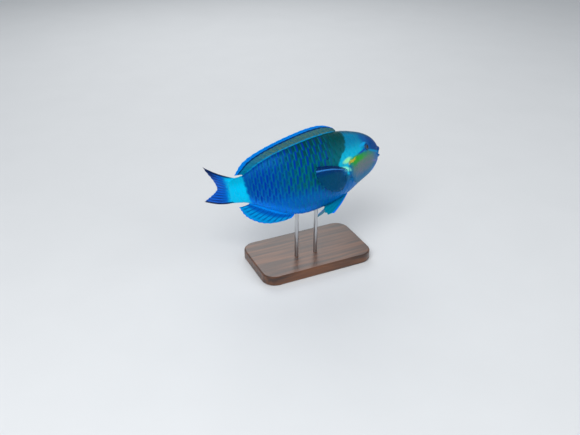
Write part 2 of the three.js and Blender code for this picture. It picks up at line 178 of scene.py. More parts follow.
def new_piece(name, points, faces, straight=None):
    """A mesh object from points in metres. straight keeps each point's place on the straight fish."""
    mesh = bpy.data.meshes.new(name)
    mesh.from_pydata([tuple(p) for p in np.asarray(points).reshape(-1, 3)], [], faces)
    mesh.update()
    mesh.shade_smooth()
    piece = bpy.data.objects.new(name, mesh)
    bpy.context.scene.collection.objects.link(piece)
    if straight is not None:
        keep(piece, "straight", straight * [-1, 1, 1])
    return piece


def keep(piece, name, values):
    """Stores one vector for each vertex."""
    layer = piece.data.attributes.new(name, "FLOAT_VECTOR", "POINT")
    layer.data.foreach_set("vector", np.ascontiguousarray(values, np.float32).reshape(-1))


def quads(rows, columns, ring=False, flip=False):
    """The faces of a grid of points. ring joins its last column to its first."""
    faces = []
    for i in range(rows - 1):
        for j in range(columns if ring else columns - 1):
            a, b = i * columns + j, i * columns + (j + 1) % columns
            faces.append((a, a + columns, b + columns, b) if flip else (a, b, b + columns, a + columns))
    return faces


def capped(rings, columns, flip=False):
    """The same for rings, closed by the two points that follow them."""
    faces = quads(rings, columns, ring=True, flip=flip)
    end = rings * columns
    for j in range(columns):
        after = (j + 1) % columns
        for face in ((after, j, end), (end - columns + j, end - columns + after, end + 1)):
            faces.append(face[::-1] if flip else face)
    return faces


SCALE_ROOM = 0.35  # how far the skin draws in under the scales
EYE = {"s": 36.0, "z": 16.8, "radius": 6.8, "sunk": 4.6}
SOCKET = {"depth": 3.2, "edge": 5.6, "floor": 4.4}
SOCKET_RINGS = ((0.95, 6.3, 1.15), (-0.35, 8.8, 1.2))  # lift, radius and width of rim and furrow
NOSTRILS = ((23.5, 18.0, 0.9), (26.5, 20.5, 1.2))  # place, level and radius
NOSTRIL_RIM, NOSTRIL_DEPTH = 0.35, 1.0
LIP = {"level": -1.0, "half_width": 12.6, "upper": 6.6, "lower": 6.2, "thick": 2.9, "crease": 0.5}
MOUTH = {"behind": 14.5, "full": 11.5, "depth": 4.5, "slit": 1.4, "slit_width": 0.45}
GILL_STEP, GILL_FURROW, CHEEK_FURROW = 1.65, 0.5, 0.3
GILL_EDGE = through([(-38, 54), (-34, 64), (-25, 73), (-14, 79), (-3, 80), (9, 74), (15, 66), (17, 58)])
GILL_LEVELS = np.linspace(-38, 17, 45)
GILL_LINE = np.stack([GILL_EDGE(GILL_LEVELS), GILL_LEVELS], -1)


def gill_distance(s, z):
    """Millimetres to the gill cover's rear edge, positive in front of it."""
    nearest = np.full(s.shape, 1e9)
    for (s0, z0), (s1, z1) in zip(GILL_LINE[:-1], GILL_LINE[1:]):
        run = ((s - s0) * (s1 - s0) + (z - z0) * (z1 - z0)) / ((s1 - s0) ** 2 + (z1 - z0) ** 2)
        run = np.clip(run, 0, 1)
        nearest = np.minimum(nearest, np.hypot(s - lerp(s0, s1, run), z - lerp(z0, z1, run)))
    ahead = (s < GILL_EDGE(z)) & (z < GILL_LEVELS[-1]) & (z > GILL_LEVELS[0])
    return np.where(ahead, nearest, -nearest)


def relief(p):
    """How far the skin stands off the plain body, in millimetres, from straight points."""
    s, y, z = -p[..., 0], p[..., 1], p[..., 2]
    lift = -SCALE_ROOM * smoothstep(s, 34, 52)
    for side in (1, -1):
        r = np.linalg.norm(p - on_skin(EYE["s"], EYE["z"], side), axis=-1)
        lift -= SOCKET["depth"] * smoothstep(r, SOCKET["edge"], SOCKET["floor"])
        for height, radius, width in SOCKET_RINGS:
            lift += height * bump(r - radius, width)
        for place, level, radius in NOSTRILS:
            r = np.linalg.norm(p - on_skin(place, level, side), axis=-1)
            lift += NOSTRIL_RIM * bump(r - 1.5 * radius, 0.5 * radius)
            lift -= NOSTRIL_DEPTH * smoothstep(r, radius, 0.4 * radius)
    # lips with a crease outside each, thinner towards the corners, and the mouth sunk between them
    away = np.clip(np.abs(y) / LIP["half_width"], 0, 1) ** (1 / 0.85)
    arch = np.sqrt(1 - away**2)
    near = smoothstep(s, MOUTH["behind"], MOUTH["full"])
    thick = LIP["thick"] * (0.45 + 0.55 * arch)
    inside = smoothstep(away, 1.0, 0.8)
    for sign, height, swell in ((1, LIP["upper"], 0.85), (-1, LIP["lower"], 0.8)):
        past = sign * (z - LIP["level"]) - height * arch**0.8
        lift += near * swell * thick * bump(past, 0.8 * thick)
        lift -= near * LIP["crease"] * bump(past - 1.7 * thick, 0.7 * thick)
        inside = inside * smoothstep(past, -0.35 * thick, -0.9 * thick)
    lift -= near * MOUTH["depth"] * inside
    slit = bump(z - LIP["level"], MOUTH["slit_width"]) * smoothstep(away, 0.5, 0.9)
    lift -= near * MOUTH["slit"] * slit
    # the gill cover's edge stands off the shoulder: free behind, and grown on above
    gill = gill_distance(s, z)
    slope = 0.6 + 6 * smoothstep(z, 2, 12)
    edge = smoothstep(s, 52, 79) * smoothstep(gill / slope, -0.8, 1.0) * smoothstep(z, -40, -30)
    lift += GILL_STEP * edge
    lift -= GILL_FURROW * bump(gill + 1.4, 1.0) * smoothstep(s, 50, 60) * smoothstep(z, 10, 2)
    # the front bone of the gill cover shows as a soft crescent on the cheek
    crescent = bump(s - (50 - ((z + 10) / 9.0) ** 2), 1.6)
    lift -= CHEEK_FURROW * crescent * smoothstep(z, 10, 4) * smoothstep(z, -33, -27)
    return lift


def skin_points(s, angle):
    plain = flank(s, angle)
    return plain + outward(s, angle) * relief(plain)[..., None], plain


def margins(plain):
    """Millimetres below the back, above the belly, and to the gill cover's edge."""
    s, z = -plain[..., 0], plain[..., 2]
    return np.stack([back_of(s) - z, z - belly_of(s), gill_distance(s, z)], -1)


SKIN_ROWS, SKIN_ROUND = 290, 240
rows = np.linspace(0.5, math.sqrt(SKIN_END), SKIN_ROWS) ** 2
angles = np.arange(SKIN_ROUND) * 2 * math.pi / SKIN_ROUND + math.pi  # starts under the belly
formed, plain = skin_points(rows[:, None], angles[None, :])
ends = [formed[0].mean(0), formed[-1].mean(0)]
points = np.concatenate([formed.reshape(-1, 3), ends])
places = np.concatenate([plain.reshape(-1, 3), ends])
skin = new_piece("skin", posed(points), capped(SKIN_ROWS, SKIN_ROUND), places)
keep(skin, "margins", margins(places))
unwrap = skin.data.uv_layers.new(name="OFBake")
on_rings, UV_EDGE = SKIN_ROWS * SKIN_ROUND, 0.02
for face in skin.data.polygons:
    corners = [skin.data.loops[i].vertex_index for i in face.loop_indices]
    seam = any(v < on_rings and v % SKIN_ROUND == SKIN_ROUND - 1 for v in corners)
    for i, v in zip(face.loop_indices, corners):
        column = v % SKIN_ROUND if v < on_rings else SKIN_ROUND / 2
        if seam and v < on_rings and column == 0:
            column = SKIN_ROUND
        row = v // SKIN_ROUND if v < on_rings else (-1 if v == on_rings else SKIN_ROWS)
        across = UV_EDGE + (1 - 2 * UV_EDGE) * column / SKIN_ROUND
        unwrap.data[i].uv = ((row + 1.5) / (SKIN_ROWS + 2), across)


def add_node(tree, kind, values, **settings):
    """The outputs of a new node, with its inputs wired or set."""
    made = tree.nodes.new(kind)
    for name, value in settings.items():
        setattr(made, name, value)
    for socket, value in values.items():
        if isinstance(value, bpy.types.NodeSocket):
            tree.links.new(value, made.inputs[socket])
        else:
            made.inputs[socket].default_value = value
    return made.outputs


class Paint:
    """One painted finish: a Principled shader and the nodes that colour it."""

    def __init__(self, name, **shader):
        self.material = bpy.data.materials.new(name)
        self.material.use_nodes = True
        self.tree = self.material.node_tree
        self.shader = self.tree.nodes["Principled BSDF"]
        for word, value in shader.items():
            socket = word.replace("_", " ").title().replace("Ior", "IOR")
            self.shader.inputs[socket].default_value = value

    def node(self, kind, values, **settings):
        return add_node(self.tree, "ShaderNode" + kind, values, **settings)

    def maths(self, operation, *values):
        return self.node("Math", dict(enumerate(values)), operation=operation)[0]

    def plus(self, a, b):
        return self.maths("ADD", a, b)

    def minus(self, a, b):
        return self.maths("SUBTRACT", a, b)

    def times(self, product, *others):
        for other in others:
            product = self.maths("MULTIPLY", product, other)
        return product

    def absolute(self, value):
        return self.maths("ABSOLUTE", value)

    def attribute(self, name):
        """The three numbers of a vector that the mesh keeps."""
        found = self.node("Attribute", {}, attribute_name=name)["Vector"]
        return tuple(self.node("SeparateXYZ", {0: found}))

    def vector(self, *values):
        return self.node("CombineXYZ", dict(enumerate(values)))[0]

    def soft(self, value, low, high):
        """0 below low, 1 above high, and smooth between them; low may be above high."""
        ends = (high, low, 1.0, 0.0) if low > high else (low, high, 0.0, 1.0)
        values = dict(enumerate((value, *ends)))
        return self.node("MapRange", values, interpolation_type="SMOOTHSTEP")[0]

    def curve(self, value, knots):
        """A value read from knots of (place, value)."""
        low, high = knots[0][0], knots[-1][0]
        bottom, top = min(v for _, v in knots), max(v for _, v in knots)
        spots = [((place - low) / (high - low), (v - bottom) / (top - bottom)) for place, v in knots]
        node = self.tree.nodes.new("ShaderNodeFloatCurve")
        line = node.mapping.curves[0]
        line.points[0].location = spots[0]
        for spot in spots[1:-1]:
            line.points.new(*spot)
        line.points[-1].location = spots[-1]
        node.mapping.update()
        scaled = self.maths("MULTIPLY_ADD", value, 1 / (high - low), -low / (high - low))
        self.tree.links.new(scaled, node.inputs["Value"])
        return self.maths("MULTIPLY_ADD", node.outputs[0], top - bottom, bottom)

    def spot(self, s, z, at, size, tilt=0.0, edge=0.35):
        """1 inside an ellipse at (place, level), tilted in degrees, and 0 outside it."""
        cos, sin = math.cos(math.radians(tilt)), math.sin(math.radians(tilt))
        ds, dz = self.minus(s, at[0]), self.minus(z, at[1])
        long = self.plus(self.times(ds, cos), self.times(dz, sin))
        short = self.minus(self.times(dz, cos), self.times(ds, sin))
        long, short = self.maths("DIVIDE", long, size[0]), self.maths("DIVIDE", short, size[1])
        r = self.maths("SQRT", self.plus(self.times(long, long), self.times(short, short)))
        return self.soft(r, 1 + edge, 1 - edge)

    def noise(self, vector, scale, detail=4.0):
        """Even noise between about 0.2 and 0.8."""
        return self.node("TexNoise", {"Vector": vector, "Scale": scale, "Detail": detail})[0]

    def waved(self, value, noise, by):
        """The value moved up to about by either way, so that an edge drawn at it wanders."""
        return self.plus(value, self.maths("MULTIPLY_ADD", noise, 2 * by, -by))

    def mix(self, amount, *colours):
        under, over = (c if isinstance(c, bpy.types.NodeSocket) else rgb(c) for c in colours)
        return self.node("Mix", {0: amount, 6: under, 7: over}, data_type="RGBA")[2]

    def layers(self, tint, *over):
        """The tint with layers of (amount, colour) laid over it in turn."""
        for amount, colour in over:
            tint = self.mix(amount, tint, colour)
        return tint

    def colour(self, tint, *over):
        self.tree.links.new(self.layers(tint, *over), self.shader.inputs["Base Color"])

    def raise_by(self, height, distance, strength):
        values = {"Height": height, "Distance": distance, "Strength": strength}
        self.tree.links.new(self.node("Bump", values)[0], self.shader.inputs["Normal"])

    def cover(self, piece):
        piece.data.materials.append(self.material)


SHEEN = (0.04, 0.55, 1.0, 1.0)  # the paint's gloss is bluish, as on the live fish


def rgb(screen):
    """A colour given as screen values of 0 to 255."""
    linear = [((c / 255 + 0.055) / 1.055) ** 2.4 if c > 10 else c / 255 / 12.92 for c in screen]
    return (*linear, 1.0)


def markings(paint):
    """The grown male's colours, with painted shade at the gill edge, and their place on the straight
    fish.
    """
    s, side, z = paint.attribute("straight")
    below_back, above_belly, gill = paint.attribute("margins")
    soft, spot, times = paint.soft, paint.spot, paint.times
    cloud = paint.noise(paint.vector(s, times(side, 0.6), z), 0.16)
    s_waved, z_waved = paint.waved(s, cloud, 4.0), paint.waved(z, cloud, 4.0)
    fleck = paint.noise(paint.vector(s, side, z), 0.55, 5.0)
    slanting = paint.maths("MULTIPLY_ADD", z, -0.35, s)
    crossing = paint.maths("MULTIPLY_ADD", s, 0.9, times(z, 2.4))
    streaks = paint.noise(paint.vector(slanting, side, crossing), 0.14, 3.0)

    rear = paint.mix(soft(z_waved, 6, -46), (0, 70, 146), (0, 94, 194))
    stem_line = paint.curve(z, [(-26, 234.5), (-10, 237.5), (6, 238.5), (20, 242)])
    stem = paint.mix(soft(z, 0, 16), (0, 186, 232), (0, 158, 196))
    trunk = paint.layers(
        (0, 88, 94),  # teal flank
        (soft(z_waved, 12, 44), (0, 60, 58)),  # dark green back
        (soft(z_waved, -8, -34), (0, 88, 164)),  # blue belly
        (soft(s_waved, 148, 214), rear),
        (times(soft(above_belly, 17, 2), soft(s_waved, 118, 165)), (4, 122, 236)),  # keel
        (times(soft(above_belly, 26, 3), soft(s, 130, 95)), (0, 112, 190)),  # breast
        (spot(s, z, (115, 21), (2.6, 2.2)), (4, 30, 26)),  # one dark dot
        (soft(paint.minus(s_waved, stem_line), -3, 3), stem),  # bright tail stem
    )

    cheek_knots = [(0, 3), (18, 5), (30, 9), (44, 12.5), (60, 11), (74, 9), (84, 6), (110, 4)]
    under = soft(paint.minus(z_waved, paint.curve(s, cheek_knots)), 1.6, -1.6)
    middle = spot(s_waved, z_waved, (47, -9), (27, 12), -8, 0.6)
    cheek = paint.layers(
        paint.mix(soft(z_waved, -8, -24), (34, 116, 120), (8, 104, 152)),
        (soft(s_waved, 30, 14), (6, 100, 166)),  # chin
        (spot(s_waved, z_waved, (56, 0), (26, 8), -6, 0.8), (46, 134, 66)),  # green haze
        (times(middle, 0.75), (108, 104, 118)),  # grey
        (times(middle, soft(streaks, 0.5, 0.66), 0.45), (44, 120, 104)),  # green streaks
        (times(middle, soft(fleck, 0.46, 0.34), 0.4), (142, 116, 132)),  # pink flecks
        (times(soft(above_belly, 12, 2), soft(s, 34, 16)), (4, 116, 222)),  # throat
        (soft(s_waved, 70, 84), (0, 92, 152)),  # gill cover's rear
    )

    band_line = paint.curve(z, [
        (-14, 84), (-8, 90), (-3, 97), (3, 99.5), (11, 97), (19, 90), (28, 81.5), (40, 76), (56, 74),
    ])
    shoulder = paint.mix(soft(z_waved, -12, -17), (0, 172, 206), (0, 96, 160))
    mouth_streak = spot(s_waved, z, (19, -10.5), (8, 1.3), 16, 0.6)
    yellow_streak = times(spot(s, z_waved, (75, 4.6), (10, 1.9), -16, 0.5), soft(fleck, 0.3, 0.6))
    # painted shade: a dark line just behind the gill cover's free lower edge, where its step throws shade
    gill_edge_shade = soft(paint.absolute(paint.plus(gill, 0.8)), 1.5, 0.2)
    head = paint.layers(
        paint.mix(soft(z, 14, 36), (0, 168, 202), (0, 118, 160)),  # cyan behind the eye
        (soft(s_waved, 52, 36), (4, 84, 150)),  # forehead
        (soft(s_waved, 36, 22), (0, 60, 128)),  # deep blue snout
        (times(soft(below_back, 7, 0), soft(s, 96, 70)), (4, 84, 112)),  # nape
        (spot(s, z, (44, 23), (8, 2.4), -8), (10, 152, 212)),  # streak over the eye
        (under, cheek),
        (spot(s, z, (50, 12.8), (12, 1.7), -12, 0.6), (0, 62, 160)),  # streak behind the eye
        (spot(s, z, (22, 7), (14, 1.6), 22), (4, 128, 180)),  # streak from eye to lip
        (times(mouth_streak, 0.55), (122, 104, 182)),
        (spot(s_waved, z_waved, (64, 5.2), (17, 5.0), -2, 0.8), (38, 154, 14)),  # green patch
        (yellow_streak, (206, 164, 26)),
        (times(soft(s, 79, 84), soft(z, 16, 8)), shoulder),
        (spot(s_waved, z, (82.5, 8.5), (7.5, 3.6), -14, 0.5), (146, 232, 166)),  # pale spots
        (spot(s_waved, z, (87.5, -4), (8, 3.6), 26, 0.5), (140, 246, 204)),
        (times(soft(z_waved, -13, -18), soft(s, 82, 96)), trunk),
        # painted shade behind the gill cover's free lower edge
        (times(gill_edge_shade, soft(z, 4, -6), soft(z, -40, -30), 0.5), (0, 66, 140)),
    )
    in_front = soft(paint.minus(s_waved, band_line), 1.8, -1.8)
    return paint.mix(in_front, trunk, head), s, side, z


flesh = Paint("painted_flesh", roughness=0.4, specular_ior_level=0.3, specular_tint=SHEEN)
tint, s, side, z = markings(flesh)
flesh.colour(tint)
pores = flesh.noise(flesh.vector(s, side, z), 2.2)
flesh.raise_by(pores, 0.0004, 0.5)
flesh.cover(skin)
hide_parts("head", "trunk", "tail_stem", "gill_cover_left", "gill_cover_right")
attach(skin, "root")

# The scales: large plates of painted resin with round edges. They lie on the skin like roof tiles
# from the cheek and nape to the tail, one sheet on each side, and their free edges stand up a
# little. Each is a thin plate on a flat map of the skin, wrapped onto it with its neighbours.

column_pitch = through([(30, 8.6), (90, 9.6), (180, 9.4), (SKIN_END, 7.2)])
row_pitch = through([(30, 10.5), (90, 12.2), (180, 11.6), (SKIN_END, 8.0)])
BED_FROM, BED_COLUMNS, BED_ROWS_HALF = 34.0, 30, 8
BED_TOP, BED_STEP = -10, 1.6  # degrees from the back: it starts past it and ends past the belly
bed_rows = np.arange(BED_FROM, SKIN_END - 0.5, 1.0)
bed_columns_at = np.concatenate([[0], np.cumsum(1 / column_pitch(bed_rows[:-1] + 0.5))])
COAT_FRONT = through([(-60, 62), (-30, 60), (-14, 53), (0, 50), (12, 49), (22, 49), (32, 46), (50, 43)])


def shown(s, z):
    """0 on the bare snout, chin, eye rim and tail root, rising to 1 where the scales are full."""
    from_eye = np.hypot(s - EYE["s"], z - EYE["z"])
    return smoothstep(s - COAT_FRONT(z), 0, 12) * smoothstep(from_eye, 13, 22) * smoothstep(s, 264, 254)


def scale_bed(side):
    """One side of the skin laid out flat, in scales along and across, that keeps its real places."""
    angle = side * np.radians(np.arange(BED_TOP, 180 - BED_TOP + 0.1, BED_STEP))
    formed, plain = skin_points(bed_rows[:, None], angle[None, :])
    steps = np.linalg.norm(np.diff(plain, axis=1), axis=-1)
    arc = np.concatenate([np.zeros((len(bed_rows), 1)), np.cumsum(steps, axis=1)], axis=1)
    widest = np.argmin(np.abs(np.degrees(np.abs(angle)) - 90))
    arc = (arc[:, widest:widest + 1] - arc) / row_pitch(bed_rows)[:, None]
    along = np.broadcast_to(bed_columns_at[:, None], arc.shape)
    flat = np.stack([along, arc, 0 * arc], -1)
    bed = new_piece("bed", flat, quads(*arc.shape), plain.reshape(-1, 3))
    ground = posed(formed)
    facing = np.cross(np.gradient(ground, axis=1), np.gradient(ground, axis=0)) * side
    facing /= np.linalg.norm(facing, axis=-1, keepdims=True)
    s, z = -plain[..., 0], plain[..., 2]
    # scales are flatter on the cheek and at the tail's root
    relative_height = lerp(0.55, 1.0, smoothstep(s, 76, 96)) * lerp(1.0, 0.5, smoothstep(s, 238, 262))
    free_gill = smoothstep(s, 54, 61) * smoothstep(z, 11, 5)
    keep(bed, "ground", ground)
    keep(bed, "facing", facing * relative_height[..., None])
    keep(bed, "margins", margins(plain))
    keep(bed, "cut", np.stack([gill_distance(s, z), free_gill, shown(s, z)], -1))
    return bed, arc


def scale_roots(arc):
    """Where the scales sit, in scales along and across. Every second row is half a scale on."""
    roots = []
    for j in range(-BED_ROWS_HALF, BED_ROWS_HALF + 1):
        across = j + 0.25
        for i in range(BED_COLUMNS):
            along = i + 0.5 + 0.5 * (j % 2)
            s = float(np.interp(along, bed_columns_at, bed_rows))
            row = arc[int(np.clip(round(s - BED_FROM), 0, len(bed_rows) - 1))]
            fits = row[-1] + 0.2 < across < row[0] - 0.2 and along <= bed_columns_at[-1] - 0.35
            step = float(np.interp(across, row[::-1], np.arange(len(row))[::-1]))
            z = float(flank(s, math.radians(BED_TOP + BED_STEP * step))[2])
            if fits and shown(s + 5, z) >= 0.02:
                roots.append((along, across, 0.0))
    return roots


def border(rows, columns):
    """The edge points of a grid, once round, from the first along the first row."""
    end = rows * columns
    edge = [*range(columns), *range(2 * columns - 1, end, columns)]
    return edge + [*range(end - 2, end - columns - 1, -1), *range(end - 2 * columns, 0, -columns)]


PLATE_ALONG = (0, 0.45, 0.75, 0.92, 1)  # closer together towards the free edge
PLATE_ACROSS = 11
PLATE_ROOT, PLATE_HALF_WIDTH, PLATE_DEPTH = -0.72, 0.86, 0.3 / 1000


def scale_plate():
    """One scale: a curved top, a thin rim and a flat underside, in scales across and metres deep."""
    a, b = np.meshgrid(PLATE_ALONG, np.linspace(-1, 1, PLATE_ACROSS), indexing="ij")
    b = np.sin(b * math.pi / 2)
    free_edge = 0.06 + 0.52 * np.sqrt(np.clip(1 - (0.97 * np.abs(b)) ** 2.6, 0, 1))
    x = lerp(PLATE_ROOT, free_edge, a)
    y = b * PLATE_HALF_WIDTH * (1 - 0.1 * (1 - a))
    rise = np.clip((x - PLATE_ROOT) / 1.3, 0, 1) ** 1.25
    height = (0.10 + 0.62 * rise) * (1 - 0.35 * np.abs(b) ** 4) - 0.16 * smoothstep(a, 0.88, 1.0)
    top = np.stack([x, y, height / 1000], -1).reshape(-1, 3)
    edge = border(*a.shape)
    rim = edge[:1] + edge[:0:-1]
    low = top[rim].copy()
    low[:, 2] = -PLATE_DEPTH
    points = np.concatenate([top, low])
    faces = quads(*a.shape, flip=True)
    base = len(top)
    for k, v in enumerate(rim):
        after = (k + 1) % len(rim)
        faces.append((rim[after], v, base + k, base + after))
    faces.append(tuple(base + k for k in range(len(rim))))
    plate = new_piece("plate", points, faces)
    bpy.context.scene.collection.objects.unlink(plate)
    keep(plate, "scale_at", points * [1, 1, 1000])
    return plate


def scale_tree():
    """Lays plates on the lattice points and wraps them onto the bed."""
    tree = bpy.data.node_groups.new("lay_scales", "GeometryNodeTree")
    for name, kind in (
        ("Lattice", "Geometry"), ("Bed", "Object"), ("Plate", "Object"), ("Finish", "Material"),
        ("Columns", "Float"), ("Rows", "Float"), ("Turn", "Float"), ("Sink", "Float"), ("Seed", "Int"),
    ):
        tree.interface.new_socket(name, in_out="INPUT", socket_type="NodeSocket" + kind)
    tree.interface.new_socket("Coat", in_out="OUTPUT", socket_type="NodeSocketGeometry")
    given = tree.nodes.new("NodeGroupInput").outputs

    def node(kind, values, **settings):
        return add_node(tree, kind, values, **settings)

    def maths(operation, *values):
        return node("ShaderNodeMath", dict(enumerate(values)), operation=operation)[0]

    def vectors(operation, *values):
        return node("ShaderNodeVectorMath", dict(enumerate(values)), operation=operation)[0]

    def parts(vector):
        return node("ShaderNodeSeparateXYZ", {0: vector})

    def kept(name):
        return node("GeometryNodeInputNamedAttribute", {"Name": name}, data_type="FLOAT_VECTOR")[0]

    def store(geometry, name, value, kind="FLOAT_VECTOR", domain="POINT"):
        values = {"Geometry": geometry, "Name": name, "Value": value}
        return node("GeometryNodeStoreNamedAttribute", values, data_type=kind, domain=domain)[0]

    # each plate is turned a little by chance, keeps its root and tone, and becomes real
    bed = node("GeometryNodeObjectInfo", {"Object": given["Bed"]})["Geometry"]
    plate = node("GeometryNodeObjectInfo", {"Object": given["Plate"], "As Instance": True})["Geometry"]
    lowest = maths("MULTIPLY", given["Turn"], -1.0)
    range_of_turn = {2: lowest, 3: given["Turn"], "Seed": given["Seed"]}
    turn = node("FunctionNodeRandomValue", range_of_turn, data_type="FLOAT")[1]
    turn = node("ShaderNodeCombineXYZ", {"Z": turn})[0]
    turn = node("FunctionNodeEulerToRotation", {"Euler": turn})[0]
    laid = {"Points": given["Lattice"], "Instance": plate, "Rotation": turn}
    laid = node("GeometryNodeInstanceOnPoints", laid)[0]
    tone = node("FunctionNodeRandomValue", {"Seed": given["Seed"]}, data_type="FLOAT_VECTOR")[0]
    laid = store(laid, "tone", tone, domain="INSTANCE")
    here = node("GeometryNodeInputPosition", {})[0]
    laid = store(laid, "root", here, domain="INSTANCE")
    laid = node("GeometryNodeRealizeInstances", {"Geometry": laid})[0]

    def read(name, place):
        values = {"Mesh": bed, "Value": kept(name), "Sample Position": place}
        return node("GeometryNodeSampleNearestSurface", values, data_type="FLOAT_VECTOR")["Value"]

    # each has its own patch of the unwrap, at its place among the columns and rows
    columns = maths("DIVIDE", 1.0, given["Columns"])
    size = node("ShaderNodeCombineXYZ", {"X": columns, "Y": maths("DIVIDE", 1.0, given["Rows"])})[0]
    flat = vectors("MULTIPLY", here, (1, 1, 0))
    laid = store(laid, "straight", read("straight", flat))
    laid = store(laid, "margins", read("margins", flat))
    patch = vectors("MULTIPLY", kept("scale_at"), (0.42, 0.4, 0))
    patch = vectors("MULTIPLY", vectors("ADD", patch, kept("root")), size)
    laid = store(laid, "OFBake", vectors("ADD", patch, (0, 0.5, 0)), "FLOAT2", "CORNER")

    # a plate by the gill cover's edge dips under the skin there, and so does one by the bare snout
    cut = parts(read("cut", flat))
    root_side = maths("SIGN", parts(read("cut", kept("root")))[0])
    inside = {0: maths("MULTIPLY", cut[0], root_side), 1: -0.3, 2: 1.3}
    inside = node("ShaderNodeMapRange", inside, interpolation_type="SMOOTHSTEP")[0]
    free = maths("MAXIMUM", maths("SUBTRACT", 1.0, cut[1]), inside)
    free = maths("MULTIPLY", free, cut[2])
    height = maths("MULTIPLY", maths("ADD", parts(here)[2], given["Sink"]), free)
    height = maths("SUBTRACT", height, given["Sink"])
    rise = node("ShaderNodeVectorMath", {0: read("facing", flat), "Scale": height}, operation="SCALE")[0]
    target = vectors("ADD", read("ground", flat), rise)
    laid = node("GeometryNodeSetPosition", {"Geometry": laid, "Position": target})[0]
    laid = node("GeometryNodeSetMaterial", {"Geometry": laid, "Material": given["Finish"]})[0]
    tree.links.new(laid, tree.nodes.new("NodeGroupOutput").inputs[0])
    return tree


def scale_finish():
    """Painted scales: the fish's markings, with an upright blue bar on each scale of the flank."""
    paint = Paint("painted_scales", roughness=0.36, specular_ior_level=0.36, specular_tint=SHEEN)
    soft, times = paint.soft, paint.times
    tint, s, side, z = markings(paint)
    along, across, _ = paint.attribute("scale_at")
    tone, _, _ = paint.attribute("tone")
    off = paint.absolute(paint.plus(paint.minus(along, 0.2), times(across, 0.12)))
    bar = times(soft(off, 0.2, 0.07), soft(paint.absolute(across), 0.74, 0.42))
    on_flank = times(soft(s, 96, 128), soft(s, 236, 226), soft(z, -36, -18))
    bar = times(bar, on_flank, paint.maths("MULTIPLY_ADD", tone, 0.5, 0.55))
    edge = times(soft(along, 0.3, 0.52), soft(s, 90, 120), soft(s, 240, 230), 0.35)
    root = times(soft(along, 0.0, -0.3), soft(s, 84, 100), soft(s, 236, 226), soft(z, -40, -20), 0.3)
    paint.colour(tint, (bar, (0, 38, 148)), (edge, (0, 128, 150)), (root, (0, 44, 90)))
    from_root = paint.plus(along, 0.5)
    radius = paint.maths("SQRT", paint.plus(times(from_root, from_root), times(across, across)))
    growth_rings = paint.maths("SINE", times(radius, 60.0))
    fine = paint.noise(paint.vector(s, side, z), 1.6)
    paint.raise_by(paint.maths("MULTIPLY_ADD", growth_rings, 0.05, fine), 0.00025, 0.4)
    return paint.material


finish = scale_finish()
tree = scale_tree()
plate = scale_plate()
for side, name in ((1, "left"), (-1, "right")):
    bed, arc = scale_bed(side)
    lattice = new_piece("scales_" + name, scale_roots(arc), [])
    laying = lattice.modifiers.new("lay scales", "NODES")
    laying.node_group = tree
    inputs = {item.name: item.identifier for item in tree.interface.items_tree if item.in_out == "INPUT"}
    for label, value in {
        "Bed": bed, "Plate": plate, "Finish": finish, "Columns": float(BED_COLUMNS),
        "Rows": 2.0 * BED_ROWS_HALF, "Turn": 0.05, "Sink": 0.0008, "Seed": 7,
    }.items():
        laying[inputs[label]] = value
    bpy.context.view_layer.update()
    depsgraph = bpy.context.evaluated_depsgraph_get()
    coat = bpy.data.meshes.new_from_object(lattice.evaluated_get(depsgraph), depsgraph=depsgraph)
    lattice.modifiers.clear()
    lattice.data = coat
    coat.shade_smooth()
    if side < 0:
        coat.flip_normals()
    bpy.data.objects.remove(bed)
    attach(lattice, "root")
bpy.data.objects.remove(plate)

# The dorsal fin: one long fin of spines and soft rays in a thin web, set in a groove along the
# back. It is moulded in painted resin as a closed sheet, with raised rays that fork near the
# margin, and painted in bands.

FORK_FROM, FORK = 0.4, 0.2  # where along its length a ray forks, and how wide, in gaps of rays


def fin_sheet(name, middle, rays, membrane=0.45, ray=1.4, root=2.0, columns=14, steps=40, notch=0.03):
    """A closed sheet over middle(v, u), with v from ray to ray and u from the root to the margin.

    membrane and ray are thicknesses, root is what the root adds, and notch is how far the margin
    draws in between the rays.
    """
    v = np.linspace(0, 1, (rays - 1) * columns + 1)[None, :]
    u = np.linspace(0, 1, steps + 1)[:, None]
    u, v = np.broadcast_arrays(u, v)
    off = v * (rays - 1) - np.round(v * (rays - 1))
    fork = FORK * smoothstep(u, FORK_FROM, 1.0)
    ridge = bump(np.abs(off) - fork, 0.12 + 0.03 * u) * smoothstep(u, 0.03, 0.16)
    far = u * (1 - notch * (1 - bump(off, 0.28)))
    nudge = 0.004
    across = middle(np.minimum(v + nudge, 1), far) - middle(np.maximum(v - nudge, 0), far)
    along = middle(v, np.minimum(far + nudge, 1)) - middle(v, np.maximum(far - nudge, 0))
    facing = np.cross(across, along)
    facing /= np.maximum(np.linalg.norm(facing, axis=-1, keepdims=True), 1e-9)
    half = (membrane + (ray - membrane) * ridge * (1 - 0.6 * u) + root * np.exp(-((u / 0.1) ** 2))) / 2
    offset = facing * (half * (1 - 0.65 * smoothstep(u, 0.97, 1.0)))[..., None]
    at = middle(v, far)
    return shell(name, at + offset, at - offset, fin_at=np.stack([v, u, off], -1))


def shell(name, front, back, **kept):
    """A closed shell between two grids of straight points."""
    rows, columns = front.shape[:2]
    total = rows * columns
    points = np.concatenate([front.reshape(-1, 3), back.reshape(-1, 3)])
    faces = quads(rows, columns)
    for face in quads(rows, columns, flip=True):
        faces.append(tuple(v + total for v in face))
    rim = border(rows, columns)
    for a, b in zip(rim, rim[1:] + rim[:1]):
        faces.append((b, a, a + total, b + total))
    piece = new_piece(name, posed(points), faces, points)
    for label, values in kept.items():
        keep(piece, label, np.concatenate([values.reshape(-1, 3)] * 2))
    return piece


